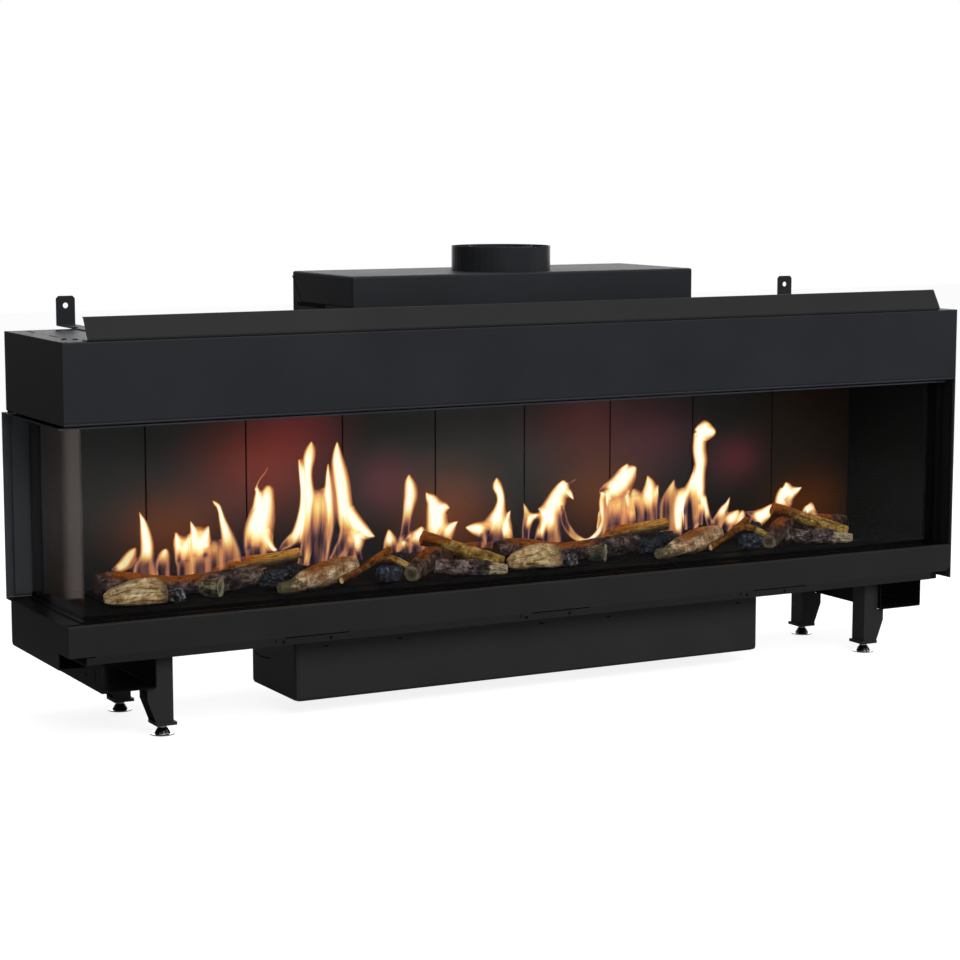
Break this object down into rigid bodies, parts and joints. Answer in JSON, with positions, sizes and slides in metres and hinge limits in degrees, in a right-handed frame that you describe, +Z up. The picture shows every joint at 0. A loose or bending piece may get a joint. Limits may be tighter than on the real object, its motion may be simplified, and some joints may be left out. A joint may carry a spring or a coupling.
{
  "type": "gas firebox",
  "caption": "Long built-in gas firebox with corner glass, log burner, flue collar, air ducts and levelling feet.",
  "frame": {"origin": "on the floor, under the middle of the whole object's box", "axes": "+X along the front, away from the glazed side; +Y to the rear; +Z up"},
  "size_m": [2, 0.424, 0.8824],
  "materials": {
    "powder_black": "fine-textured matt black powder coat",
    "soot_black": "matt black heat-proof paint",
    "burner_steel": "heat-darkened steel sheet",
    "foot_steel": "bright zinc plate with a black plastic cone",
    "log_ceramic": "painted ceramic fibre that looks like bark and split wood",
    "ceramic_glass": "clear, slightly tinted ceramic glass",
    "valve_alloy": "die-cast alloy",
    "knob_plastic": "matt dark plastic",
    "receiver_plastic": "matt dark grey plastic",
    "copper_pipe": "drawn copper tube"
  },
  "bodies": {
    "casing": {"hood_front_panel": "powder_black", "hood_side_panel": "powder_black", "hood_top_plate": "powder_black", "hood_rear_panel": "powder_black", "installation_flange": "powder_black", "skirt_front_panel": "powder_black", "skirt_side_panel": "powder_black", "head_frame": "powder_black", "sill_frame": "powder_black", "right_casing_side": "powder_black", "right_stile": "powder_black", "side_post": "powder_black", "firebox_back": "powder_black", "flue_box": "powder_black", "outer_flue_collar": "powder_black", "inner_flue_pipe": "powder_black", "wall_bracket_left": "powder_black", "wall_bracket_right": "powder_black", "duct_rail_left": "powder_black", "duct_rail_right": "powder_black", "leg_front_left": "powder_black", "leg_front_right": "powder_black", "leg_rear_left": "powder_black", "leg_rear_right": "powder_black", "base_tray": "powder_black", "control_box": "powder_black", "glass_retainer": "powder_black", "firebox_deck": "soot_black", "back_lining": "soot_black", "right_liner": "soot_black", "firebox_ceiling": "soot_black", "burner_tray": "burner_steel", "burner_plate": "burner_steel", "pilot_assembly": "burner_steel", "log_left_bark": "log_ceramic", "log_left_split": "log_ceramic", "log_left_chunk": "log_ceramic", "log_left_branch": "log_ceramic", "log_left_crossed": "log_ceramic", "log_left_rear": "log_ceramic", "log_right_bark": "log_ceramic", "log_right_split": "log_ceramic", "log_right_chunk": "log_ceramic", "log_right_branch": "log_ceramic", "log_right_crossed": "log_ceramic", "log_right_rear": "log_ceramic", "gas_valve": "valve_alloy", "receiver_module": "receiver_plastic", "burner_supply_pipe": "copper_pipe"},
    "levelling_foot_front_left": {"levelling_foot_front_left": "foot_steel"},
    "levelling_foot_front_right": {"levelling_foot_front_right": "foot_steel"},
    "levelling_foot_rear_left": {"levelling_foot_rear_left": "foot_steel"},
    "levelling_foot_rear_right": {"levelling_foot_rear_right": "foot_steel"},
    "front_glass": {"front_glass": "ceramic_glass"},
    "side_glass": {"side_glass": "ceramic_glass"},
    "gas_valve_knob": {"gas_valve_knob": "knob_plastic"},
    "relief_flap_left": {"relief_flap_left": "burner_steel"},
    "relief_flap_right": {"relief_flap_right": "burner_steel"}
  },
  "joints": [
    {"name": "foot_screw_front_left", "type": "slide", "parent": "casing", "child": "levelling_foot_front_left", "axis": [0, 0, -1], "range_m": [0, 0.03]},
    {"name": "foot_screw_front_right", "type": "slide", "parent": "casing", "child": "levelling_foot_front_right", "axis": [0, 0, -1], "range_m": [0, 0.03]},
    {"name": "foot_screw_rear_left", "type": "slide", "parent": "casing", "child": "levelling_foot_rear_left", "axis": [0, 0, -1], "range_m": [0, 0.03]},
    {"name": "foot_screw_rear_right", "type": "slide", "parent": "casing", "child": "levelling_foot_rear_right", "axis": [0, 0, -1], "range_m": [0, 0.03]},
    {"name": "front_glass_lift", "type": "slide", "parent": "casing", "child": "front_glass", "axis": [0, 0, 1], "range_m": [0, 0.012]},
    {"name": "side_glass_lift", "type": "slide", "parent": "casing", "child": "side_glass", "axis": [0, 0, 1], "range_m": [0, 0.012]},
    {"name": "gas_valve_knob_turn", "type": "hinge", "parent": "casing", "child": "gas_valve_knob", "pos_m": [-0.2, -0.0767, 0.0619], "axis": [0, -1, 0], "range_deg": [0, 90]},
    {"name": "relief_flap_left_hinge", "type": "hinge", "parent": "casing", "child": "relief_flap_left", "pos_m": [-0.55, 0.03, 0.6259], "axis": [-1, 0, 0], "range_deg": [0, 40]},
    {"name": "relief_flap_right_hinge", "type": "hinge", "parent": "casing", "child": "relief_flap_right", "pos_m": [0.55, 0.03, 0.6259], "axis": [-1, 0, 0], "range_deg": [0, 40]}
  ]
}
